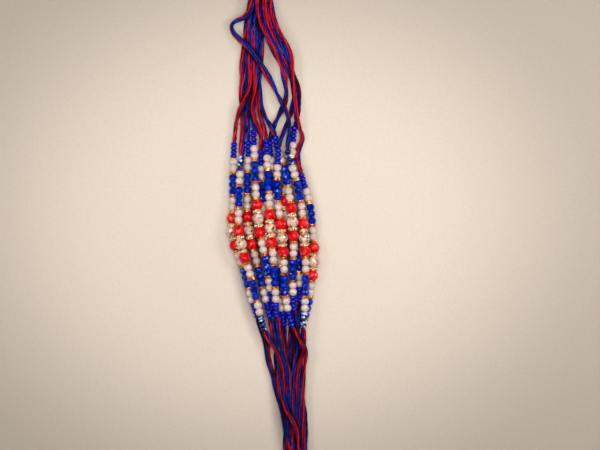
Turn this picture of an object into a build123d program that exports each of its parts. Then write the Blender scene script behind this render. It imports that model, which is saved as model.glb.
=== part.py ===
from build123d import *

import math
import os

# A tie-on bracelet of twelve bead strings lying side by side on a surface, untied.
# Y runs along the strings, Z is up, and the surface is z = 0.

# Sizes, mm
seed_length = 2.1
seed_diameter = 3.2
seeds_at_an_end = 4
white_length = 3.7
white_diameter = 4.0
blue_length = 3.75
blue_diameter = 4.1
red_length = 5.6
red_diameter = 6.0
crystal_length = 5.7
crystal_diameter = 6.1
spacer_thickness = 1.25
rondelle_thickness = 1.8
bead_gap = 0.1
core_diameter = 1.0
bore_clearance = 0.25
tail_diameter = 2.0
knot_length = 7.0
knot_wall = 0.9
tuft_length = 11.0
tuft_inset = 0.7
tail_end_gap = 0.1
bore = core_diameter + 2 * bore_clearance

# Beads in order along a string, from the top end: s seeds, w white, g gold spacer,
# b blue, r red, d rondelle, c crystal
pattern = "swwgbbbgwwgrdcdrgwwgbbbgwws"
lengths = {
    "s": seeds_at_an_end * (seed_length + bead_gap) - bead_gap,
    "w": white_length,
    "g": spacer_thickness,
    "b": blue_length,
    "r": red_length,
    "d": rondelle_thickness,
    "c": crystal_length,
}

# Rows of facets on a large bead, from one end to the other
# share of the length from the middle, share of the radius
facet_rows = [(-0.5, 0.52), (-0.36, 0.81), (-0.13, 1.0), (0.13, 1.0), (0.36, 0.81), (0.5, 0.52)]
facet_sides = 8

# Edges between the bands of a small bead, which is turned, in the same two shares
turned_rows = [(-0.5, 0.56), (-0.34, 0.82), (-0.1, 1.0), (0.1, 1.0), (0.34, 0.82), (0.5, 0.56)]

# Where the middle of the beads and the surface lie in the routes' own frame
middle_x = -0.2
middle_y = 0.6
surface_z = 0.0

# Routes of the threads, from the top knot to the bottom knot, points in mm
# name, length of bare tail before the first seed, points
routes = [
    # far left string, on the surface all the way
    ("01", 86.4, [
        (-11.8, 139.4, 3.3), (-12.3, 129.9, 3.3), (-13.4, 120.4, 3.3), (-13.4, 110.9, 3.3),
        (-12.8, 101.4, 3.3), (-12.6, 92.4, 3.3), (-13.6, 84.0, 3.3), (-16.0, 77.8, 3.3),
        (-18.9, 72.8, 3.1), (-20.6, 66.6, 2.4), (-21.3, 60.5, 1.9), (-22.0, 54.7, 1.75),
        (-22.2, 48.7, 1.9), (-22.5, 42.0, 2.3), (-22.8, 33.6, 2.4), (-22.7, 24.1, 2.8),
        (-22.8, 15.1, 3.2), (-23.2, 6.7, 3.2), (-22.2, -0.6, 3.2), (-20.2, -6.4, 3.1),
        (-18.3, -11.8, 2.5), (-16.4, -17.9, 2.2), (-14.5, -24.6, 2.2), (-12.8, -30.8, 2.2),
        (-11.2, -36.1, 2.05), (-9.4, -41.4, 1.75), (-7.4, -47.0, 1.4), (-5.3, -53.2, 1.1),
        (-3.8, -59.9, 1.1), (-2.7, -66.6, 1.1), (-1.2, -73.9, 1.1), (0.8, -81.2, 1.1), (3.1, -88.5, 1.1),
        (5.3, -95.8, 1.1), (6.4, -103.6, 1.1), (6.6, -112.0, 1.1), (6.6, -120.4, 1.1),
    ]),
    # second string, climbing over the far left one
    ("02", 92.9, [
        (-12.9, 139.4, 1.1), (-13.6, 129.9, 1.1), (-15.2, 120.4, 1.1), (-16.2, 110.9, 1.1),
        (-16.9, 101.9, 1.1), (-17.8, 92.4, 1.1), (-18.0, 83.4, 1.1), (-17.2, 74.5, 1.1),
        (-16.7, 66.1, 1.1), (-17.1, 58.2, 1.2), (-17.6, 51.5, 1.5), (-17.8, 46.9, 1.8),
        (-18.3, 41.4, 2.9), (-18.9, 34.7, 4.3), (-19.1, 26.9, 5.3), (-19.2, 19.0, 6.7),
        (-19.4, 11.2, 8.0), (-19.0, 3.4, 8.5), (-17.6, -4.5, 8.4), (-15.6, -11.2, 7.2),
        (-13.4, -17.4, 6.2), (-11.5, -24.6, 6.0), (-9.8, -31.9, 5.9), (-8.1, -38.6, 5.4),
        (-6.6, -44.8, 5.0), (-5.0, -50.4, 4.7), (-2.7, -55.2, 5.1), (0.3, -59.6, 5.5), (3.5, -64.4, 5.5),
        (5.4, -70.0, 5.0), (6.3, -76.2, 4.0), (6.9, -82.9, 3.4), (7.3, -89.6, 3.3), (7.9, -96.3, 3.3),
        (8.7, -103.6, 3.3), (8.9, -112.0, 3.3), (9.0, -120.4, 3.3),
    ]),
    # third string, on the surface
    ("03", 85.6, [
        (-10.6, 139.4, 1.1), (-11.1, 129.9, 1.1), (-12.7, 120.4, 1.1), (-13.7, 110.9, 1.1),
        (-14.2, 101.9, 1.1), (-14.8, 93.5, 1.1), (-15.5, 85.7, 1.1), (-15.0, 77.8, 1.1),
        (-14.3, 70.6, 1.1), (-14.1, 63.8, 1.2), (-14.2, 58.0, 1.5), (-14.1, 53.9, 1.8),
        (-13.9, 47.6, 2.0), (-14.2, 40.9, 2.15), (-14.7, 33.0, 2.2), (-14.5, 24.6, 2.6),
        (-14.5, 16.8, 3.2), (-14.3, 10.1, 3.2), (-13.4, 2.8, 3.2), (-11.7, -3.9, 3.2),
        (-9.9, -10.1, 2.6), (-8.3, -16.8, 2.3), (-6.7, -24.1, 2.5), (-5.1, -30.2, 2.9),
        (-3.6, -35.8, 3.2), (-2.3, -41.2, 3.3), (-1.2, -46.5, 3.3), (0.1, -52.1, 3.3), (1.1, -58.8, 3.3),
        (1.8, -65.5, 3.3), (2.9, -72.8, 3.4), (3.6, -80.6, 4.2), (4.9, -87.9, 5.3), (7.6, -94.6, 5.5),
        (10.6, -100.8, 5.5), (13.2, -107.0, 5.5), (14.3, -113.7, 5.5), (14.3, -120.4, 5.5),
    ]),
    # fourth string, over the third and fifth
    ("04", 80.9, [
        (-8.3, 139.4, 1.1), (-8.8, 129.9, 1.1), (-10.2, 120.4, 1.1), (-11.3, 110.9, 1.1),
        (-11.6, 102.5, 1.1), (-12.3, 94.6, 1.1), (-12.9, 86.8, 1.1), (-12.6, 79.5, 1.1),
        (-11.6, 72.8, 1.15), (-10.9, 67.2, 1.6), (-11.0, 62.2, 2.5), (-11.1, 59.1, 3.1),
        (-10.9, 53.8, 3.9), (-10.6, 48.2, 4.5), (-10.3, 41.4, 4.9), (-10.1, 33.6, 5.4),
        (-9.8, 26.3, 6.5), (-9.2, 19.6, 7.6), (-8.6, 12.3, 8.3), (-7.8, 5.0, 8.7), (-6.3, -2.2, 8.5),
        (-4.5, -9.5, 7.6), (-3.2, -16.8, 6.3), (-2.3, -23.5, 5.7), (-1.5, -29.7, 4.9),
        (-0.2, -34.7, 3.8), (1.0, -40.3, 2.5), (1.8, -46.5, 1.4), (2.0, -53.2, 1.1), (1.6, -59.9, 1.1),
        (1.1, -66.6, 1.1), (1.8, -73.9, 1.1), (3.6, -81.2, 1.1), (5.7, -88.5, 1.1), (7.6, -95.8, 1.1),
        (8.6, -103.6, 1.1), (8.7, -112.0, 1.1), (8.7, -120.4, 1.1),
    ]),
    # fifth string, on the surface under its neighbours
    ("05", 90.4, [
        (-8.7, 139.4, 3.3), (-9.2, 129.9, 3.3), (-10.5, 120.4, 3.3), (-10.7, 111.4, 3.3),
        (-10.0, 102.5, 3.3), (-9.7, 94.1, 3.3), (-10.0, 86.2, 3.3), (-11.1, 79.0, 3.3),
        (-11.7, 71.7, 3.6), (-10.2, 65.8, 4.1), (-7.6, 61.0, 3.5), (-6.5, 56.0, 2.4), (-7.1, 50.1, 1.75),
        (-7.0, 43.7, 1.9), (-6.7, 37.0, 2.1), (-6.2, 30.2, 2.15), (-5.9, 23.5, 2.4), (-5.5, 16.2, 2.9),
        (-4.9, 9.0, 3.2), (-4.0, 1.7, 3.2), (-3.0, -5.0, 3.2), (-1.8, -11.2, 3.1), (-1.0, -16.8, 2.4),
        (0.2, -23.2, 2.2), (2.1, -29.7, 2.2), (3.9, -35.3, 2.2), (5.2, -40.3, 2.05), (5.7, -45.4, 1.75),
        (5.9, -51.0, 1.6), (5.9, -57.1, 1.2), (5.7, -63.8, 1.1), (5.4, -71.1, 1.1), (6.3, -79.0, 1.1),
        (7.8, -86.8, 1.1), (9.7, -94.6, 1.1), (10.8, -103.0, 1.1), (10.9, -112.0, 1.1),
        (10.9, -120.4, 1.1),
    ]),
    # sixth string, at the top of the heap
    ("06", 85.2, [
        (-6.0, 139.4, 1.1), (-6.5, 129.9, 1.1), (-7.9, 120.4, 1.1), (-8.8, 111.4, 1.1),
        (-9.1, 103.0, 1.1), (-9.7, 95.2, 1.1), (-10.4, 87.4, 1.1), (-10.0, 80.1, 1.1), (-8.7, 73.4, 1.4),
        (-6.7, 67.2, 2.4), (-4.8, 61.6, 3.8), (-3.9, 55.7, 4.8), (-3.5, 49.8, 5.3), (-3.5, 43.1, 5.7),
        (-3.1, 35.8, 6.0), (-2.5, 28.0, 6.9), (-2.2, 20.7, 8.2), (-2.2, 13.4, 9.1), (-1.8, 6.2, 9.2),
        (-0.8, -1.7, 9.1), (0.0, -9.5, 8.8), (0.4, -16.8, 8.6), (0.9, -24.1, 8.5), (1.4, -31.4, 8.1),
        (1.4, -38.1, 6.8), (1.9, -43.7, 5.6), (2.9, -48.7, 4.6), (3.9, -54.3, 3.8), (5.0, -60.5, 3.4),
        (7.0, -67.2, 3.4), (8.7, -73.9, 3.3), (9.4, -81.2, 3.3), (9.7, -88.5, 3.3), (10.2, -95.8, 3.3),
        (10.9, -103.6, 3.3), (11.1, -112.0, 3.3), (11.1, -120.4, 3.3),
    ]),
    # seventh string, hidden on the surface
    ("07", 88.8, [
        (-9.1, 139.4, 5.4), (-9.2, 130.9, 5.4), (-7.3, 121.5, 5.4), (-3.9, 113.7, 5.4),
        (-0.3, 106.4, 4.8), (3.1, 99.7, 3.0), (5.9, 92.4, 1.3), (7.4, 85.1, 1.1), (6.8, 78.4, 1.1),
        (4.5, 72.2, 1.1), (1.6, 66.6, 1.1), (-0.8, 61.0, 1.1), (-2.2, 55.7, 1.75), (-2.0, 49.8, 2.0),
        (-1.1, 43.1, 2.15), (-0.3, 35.8, 2.2), (-0.2, 28.0, 2.4), (-0.2, 20.2, 3.1), (0.4, 12.9, 3.2),
        (1.7, 5.6, 3.2), (3.0, -1.7, 3.15), (3.4, -9.0, 2.6), (3.6, -16.8, 2.3), (4.9, -24.1, 2.2),
        (7.0, -30.2, 2.15), (8.6, -35.8, 1.9), (9.1, -41.4, 1.7), (9.4, -47.0, 1.5), (9.4, -53.8, 1.1),
        (9.0, -61.0, 1.1), (8.8, -68.3, 1.1), (9.2, -76.2, 1.1), (10.4, -84.0, 1.1), (11.7, -91.8, 1.1),
        (12.9, -100.2, 1.1), (13.2, -110.3, 1.1), (13.2, -120.4, 1.1),
    ]),
    # eighth string, at the top of the heap
    ("08", 94.1, [
        (-6.4, 139.4, 3.4), (-6.4, 130.8, 3.6), (-4.5, 121.5, 4.6), (-1.2, 114.2, 5.2),
        (2.3, 107.5, 4.6), (5.5, 100.8, 2.8), (8.5, 94.1, 1.3), (10.9, 86.8, 1.1), (11.8, 80.1, 1.1),
        (10.4, 73.4, 1.1), (8.1, 67.2, 1.2), (6.2, 61.0, 2.4), (4.2, 56.0, 4.2), (2.7, 51.2, 5.5),
        (2.6, 45.4, 6.0), (2.2, 38.6, 6.2), (2.0, 31.4, 6.3), (2.2, 24.1, 7.0), (3.0, 16.8, 8.2),
        (4.1, 10.1, 9.2), (4.8, 2.2, 9.3), (5.5, -5.6, 9.0), (6.0, -13.4, 7.8), (6.0, -21.3, 6.6),
        (6.3, -28.6, 6.3), (7.3, -35.3, 6.1), (8.7, -41.4, 6.3), (10.5, -47.6, 6.2), (12.8, -52.6, 6.7),
        (15.4, -57.1, 6.7), (18.2, -61.6, 5.6), (18.0, -67.8, 3.5), (16.5, -74.5, 3.3),
        (16.2, -81.8, 3.3), (16.6, -89.0, 3.3), (17.1, -95.8, 3.3), (17.5, -103.6, 3.3),
        (17.6, -112.0, 3.3), (17.6, -120.4, 3.3),
    ]),
    # ninth string, dips under the eighth one's seeds and then climbs
    ("09", 84.0, [
        (-3.7, 139.4, 1.1), (-4.2, 129.9, 1.1), (-5.6, 120.4, 1.1), (-6.4, 111.4, 1.1),
        (-6.7, 103.6, 1.1), (-7.2, 95.8, 1.1), (-7.9, 87.9, 1.1), (-7.7, 80.1, 1.1), (-6.3, 73.4, 1.3),
        (-3.9, 67.5, 2.4), (-1.0, 62.7, 3.6), (1.2, 57.7, 2.9), (1.7, 52.9, 2.2), (3.2, 47.6, 2.1),
        (5.8, 42.0, 3.3), (7.0, 35.8, 6.2), (8.0, 29.7, 6.9), (9.2, 23.5, 7.6), (10.1, 16.8, 8.6),
        (10.7, 10.1, 9.2), (11.2, 2.8, 9.2), (11.3, -4.5, 8.4), (10.9, -11.8, 7.2), (10.6, -19.0, 6.2),
        (10.9, -26.3, 5.2), (11.0, -33.0, 4.7), (11.5, -39.8, 4.2), (12.0, -45.9, 2.9),
        (11.7, -52.1, 2.0), (11.6, -58.8, 1.4), (11.7, -66.1, 1.1), (11.6, -73.4, 1.1),
        (12.0, -81.2, 1.1), (13.4, -88.5, 1.1), (14.6, -95.8, 1.1), (15.4, -103.6, 1.1),
        (15.5, -112.0, 1.1), (15.5, -120.4, 1.1),
    ]),
    # tenth string, on the surface, crossing under the ninth
    ("10", 80.1, [
        (-4.0, 139.4, 3.3), (-3.9, 131.1, 3.4), (-2.0, 122.1, 4.0), (1.2, 115.4, 4.4), (4.5, 108.6, 4.0),
        (7.6, 101.9, 2.4), (10.5, 95.2, 1.3), (13.1, 87.9, 1.1), (14.4, 81.2, 1.1), (14.6, 74.5, 1.1),
        (13.2, 68.3, 1.4), (11.6, 63.3, 1.8), (11.1, 57.7, 1.9), (10.6, 51.0, 2.15), (10.3, 44.2, 2.15),
        (9.5, 37.5, 2.15), (7.4, 30.8, 2.5), (6.0, 23.5, 3.1), (6.4, 16.2, 3.2), (8.1, 9.0, 3.2),
        (9.9, 2.5, 3.0), (11.9, -3.4, 2.4), (13.8, -10.6, 2.2), (14.6, -17.9, 2.2), (14.6, -25.8, 2.1),
        (14.8, -32.5, 1.8), (14.6, -38.1, 2.6), (14.1, -43.7, 3.8), (13.6, -49.3, 4.4),
        (13.3, -55.4, 4.4), (12.9, -61.6, 3.7), (12.0, -67.8, 3.3), (11.3, -74.5, 3.3),
        (11.7, -81.8, 3.3), (12.0, -89.0, 3.3), (12.5, -95.8, 3.3), (13.2, -103.6, 3.3),
        (13.3, -112.0, 3.3), (13.3, -120.4, 3.3),
    ]),
    # eleventh string, whose slack tail makes the loop at the top left
    ("11", 105.7, [
        (-11.7, 139.4, 5.4), (-11.7, 133.6, 5.4), (-12.6, 127.7, 5.4), (-16.0, 124.0, 5.2),
        (-20.2, 122.8, 3.8), (-23.6, 120.8, 2.4), (-23.1, 116.8, 2.2), (-19.7, 112.8, 3.6),
        (-15.4, 108.4, 5.5), (-10.6, 103.3, 5.7), (-6.4, 97.2, 4.6), (-2.7, 90.7, 2.8), (0.6, 84.6, 2.2),
        (3.6, 79.0, 3.3), (6.4, 73.6, 3.5), (8.5, 68.0, 3.5), (9.1, 62.2, 4.0), (8.3, 56.6, 4.8),
        (7.6, 50.7, 5.5), (9.0, 45.4, 6.3), (10.9, 39.2, 6.4), (12.9, 33.0, 5.5), (14.4, 26.3, 4.9),
        (15.6, 19.6, 5.4), (16.3, 12.3, 6.0), (17.0, 4.5, 6.4), (17.6, -3.4, 7.25), (18.1, -11.2, 7.0),
        (17.9, -19.0, 6.7), (17.9, -26.9, 6.3), (17.6, -34.2, 6.0), (17.5, -40.3, 6.0),
        (16.9, -45.9, 6.0), (16.6, -51.0, 5.4), (16.9, -56.6, 4.2), (16.4, -62.7, 3.8),
        (14.8, -68.9, 3.3), (13.8, -75.6, 3.3), (13.9, -82.9, 3.3), (14.3, -89.6, 3.3),
        (14.8, -96.3, 3.3), (15.4, -103.6, 3.3), (15.5, -112.0, 3.3), (15.5, -120.4, 3.3),
    ]),
    # far right string, on the surface
    ("12", 106.9, [
        (-1.6, 139.4, 2.6), (-1.5, 131.2, 2.8), (0.5, 122.6, 3.6), (3.6, 115.9, 4.2), (7.1, 109.2, 4.3),
        (9.6, 102.5, 4.2), (10.7, 95.2, 3.5), (11.3, 87.9, 3.3), (12.0, 81.2, 3.3), (12.6, 74.5, 3.5),
        (12.9, 67.8, 3.7), (14.7, 62.2, 2.7), (16.4, 57.1, 1.3), (14.5, 52.4, 1.1), (13.4, 47.0, 1.1),
        (14.3, 41.4, 1.4), (15.7, 36.2, 1.75), (17.3, 30.8, 2.0), (19.2, 24.6, 2.15), (20.9, 17.9, 2.15),
        (21.7, 10.6, 2.3), (22.1, 3.4, 2.6), (22.6, -3.9, 3.2), (22.7, -11.2, 3.2), (22.0, -17.9, 3.2),
        (21.2, -23.5, 2.9), (20.8, -29.1, 2.3), (19.9, -34.7, 2.2), (18.5, -40.0, 2.2),
        (17.1, -45.4, 2.1), (15.8, -50.7, 2.1), (15.0, -56.0, 1.85), (14.5, -62.2, 1.65),
        (14.7, -68.9, 1.1), (14.4, -75.6, 1.1), (14.8, -82.9, 1.1), (15.6, -89.6, 1.1),
        (17.0, -96.3, 1.1), (17.7, -103.6, 1.1), (17.6, -112.0, 1.1), (17.6, -120.4, 1.1),
    ]),
]


def corner_radii(points):
    """Radius of the arc at each inner point, as large as its two runs allow."""
    radii = []
    for before, here, after in zip(points, points[1:], points[2:]):
        first, second = here - before, after - here
        half_turn = math.radians(first.get_angle(second)) / 2
        radii.append(0.45 * min(first.length, second.length) / math.tan(half_turn))
    return radii


def bead_places(first):
    """Kind and middle of each bead along a string whose seeds start at that length."""
    places, at = [], first
    for kind in pattern:
        places.append((kind, at + lengths[kind] / 2))
        at += lengths[kind] + bead_gap
    return places, at - bead_gap


def across(route, at):
    """Plane across the thread at a length along it."""
    spot = route.position_at(at, PositionMode.LENGTH)
    along = route.tangent_at(at, PositionMode.LENGTH)
    return Plane(spot, x_dir=along.cross(Vector(0, 0, 1)), z_dir=along)


def stretch(route, start, end):
    """Part of a route between two lengths along it."""
    return route.trim(start / route.length, end / route.length)


def lengthwise(plane):
    """Plane through a bead's axis, with X outwards and Y along the thread."""
    return Plane(plane.origin, x_dir=plane.x_dir, z_dir=plane.x_dir.cross(plane.z_dir))


def save(part, name):
    part.label = name
    export_step(part, f"parts/{name}.step")


large_beads = {"r": (red_length, red_diameter), "c": (crystal_length, crystal_diameter)}
small_beads = {"w": (white_length, white_diameter), "b": (blue_length, blue_diameter)}
thread_ends = []

for name, tail, spots in routes:
    points = [Vector(x - middle_x, y - middle_y, z - surface_z) for x, y, z in spots]
    radii = corner_radii(points)
    with BuildLine() as line:
        FilletPolyline(*points, radius=radii)
    route = line.wire()
    places, last = bead_places(tail)
    print(f"strand {name}: route {route.length:.1f} mm, beads {tail:.1f} to {last:.1f} mm,",
          f"least radius {min(radii):.1f} mm")
    thread_ends.append((points[0], points[-1]))

    # Thread: thin where the beads ride on it, two yarns thick in the tails
    top_tail = stretch(route, 0, tail - bead_gap)
    bottom_tail = stretch(route, last + bead_gap, route.length)
    with BuildPart() as thread:
        with BuildSketch(Plane(route @ 0, z_dir=route % 0)):
            Circle(core_diameter / 2)
        sweep(path=route)
        for piece in (top_tail, bottom_tail):
            with BuildSketch(Plane(piece @ 0, z_dir=piece % 0)):
                Circle(tail_diameter / 2)
            sweep(path=piece)
    save(thread.part, f"thread_{name}")
    section = math.pi / 4
    plain = section * (core_diameter**2 * (last - tail + 2 * bead_gap)
                       + tail_diameter**2 * (top_tail.length + bottom_tail.length))
    print(f"   volume {thread.part.volume:.1f} of {plain:.1f} mm3")

    # White and blue beads, and a sleeve of seeds at each end
    with BuildPart() as small:
        for kind, at in places:
            if kind == "s":
                seeds = stretch(route, at - lengths["s"] / 2, at + lengths["s"] / 2)
                with BuildSketch(Plane(seeds @ 0, z_dir=seeds % 0)):
                    Circle(seed_diameter / 2)
                    Circle(bore / 2, mode=Mode.SUBTRACT)
                sweep(path=seeds)
            elif kind in small_beads:
                length, diameter = small_beads[kind]
                plane = across(route, at)
                outside = [(share_out * diameter / 2, share_along * length)
                           for share_along, share_out in turned_rows]
                with BuildSketch(lengthwise(plane)):
                    with BuildLine():
                        Polyline((bore / 2, -length / 2), *outside, (bore / 2, length / 2), close=True)
                    make_face()
                revolve(axis=Axis(plane.origin, plane.z_dir))
    save(small.part, f"small_beads_{name}")

    # Cut red and crystal beads
    for kind, label in (("r", "red_beads"), ("c", "crystal_bead")):
        length, diameter = large_beads[kind]
        with BuildPart() as large:
            for at in [place for found, place in places if found == kind]:
                plane = across(route, at)
                for share_along, share_out in facet_rows:
                    with BuildSketch(plane.offset(share_along * length)):
                        RegularPolygon(share_out * diameter / 2, facet_sides)
                        Circle(bore / 2, mode=Mode.SUBTRACT)
                loft(ruled=True)
        save(large.part, f"{label}_{name}")

# Bound ends: a wrapped tie round all the tails and a short cut tuft behind it
for side, label in ((0, "knot_top"), (1, "knot_bottom")):
    ends = [pair[side] for pair in thread_ends]
    reach = tail_diameter / 2 + knot_wall
    left, right = min(p.X for p in ends) - reach, max(p.X for p in ends) + reach
    low, high = 0, max(p.Z for p in ends) + reach
    outward = 1 if side == 0 else -1
    face_y = (max if side == 0 else min)(p.Y for p in ends) + outward * tail_end_gap
    plane = Plane(((left + right) / 2, face_y, (low + high) / 2), x_dir=(1, 0, 0),
                  z_dir=(0, outward, 0))
    wide, tall = right - left, high - low
    with BuildPart() as knot:
        with BuildSketch(plane):
            RectangleRounded(wide, tall, 0.45 * tall)
        extrude(amount=knot_length)
        fillet(knot.edges(), 0.2 * knot_length)
        with BuildSketch(plane.offset(knot_length)):
            RectangleRounded(wide - 4 * tuft_inset, tall - 2 * tuft_inset, 0.4 * (tall - 2 * tuft_inset))
        extrude(amount=tuft_length)
    save(knot.part, label)
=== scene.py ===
import bisect
import math
import random

import bpy
from mathutils import Matrix, Vector
from mathutils.kdtree import KDTree


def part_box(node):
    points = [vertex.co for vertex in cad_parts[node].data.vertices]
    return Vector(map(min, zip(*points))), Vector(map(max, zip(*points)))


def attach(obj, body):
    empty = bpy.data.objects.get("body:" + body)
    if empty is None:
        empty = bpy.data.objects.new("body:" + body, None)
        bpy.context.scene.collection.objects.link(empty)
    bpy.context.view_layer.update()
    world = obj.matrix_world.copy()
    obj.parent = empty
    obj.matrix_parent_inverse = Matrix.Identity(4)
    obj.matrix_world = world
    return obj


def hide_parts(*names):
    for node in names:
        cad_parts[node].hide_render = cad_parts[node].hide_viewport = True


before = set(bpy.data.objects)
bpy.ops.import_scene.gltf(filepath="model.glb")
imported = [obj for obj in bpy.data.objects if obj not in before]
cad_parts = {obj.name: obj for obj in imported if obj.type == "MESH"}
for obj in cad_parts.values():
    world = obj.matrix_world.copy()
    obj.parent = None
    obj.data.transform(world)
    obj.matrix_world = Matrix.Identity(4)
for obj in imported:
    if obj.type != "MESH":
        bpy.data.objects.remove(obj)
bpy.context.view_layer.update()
bpy.ops.object.select_all(action="DESELECT")
print("frame loaded")

# where the middle of the beads lies in the routes below, mm
routeMiddle = {"x": -0.2, "y": 0.6}
mmPerMetre = 1000

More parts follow.
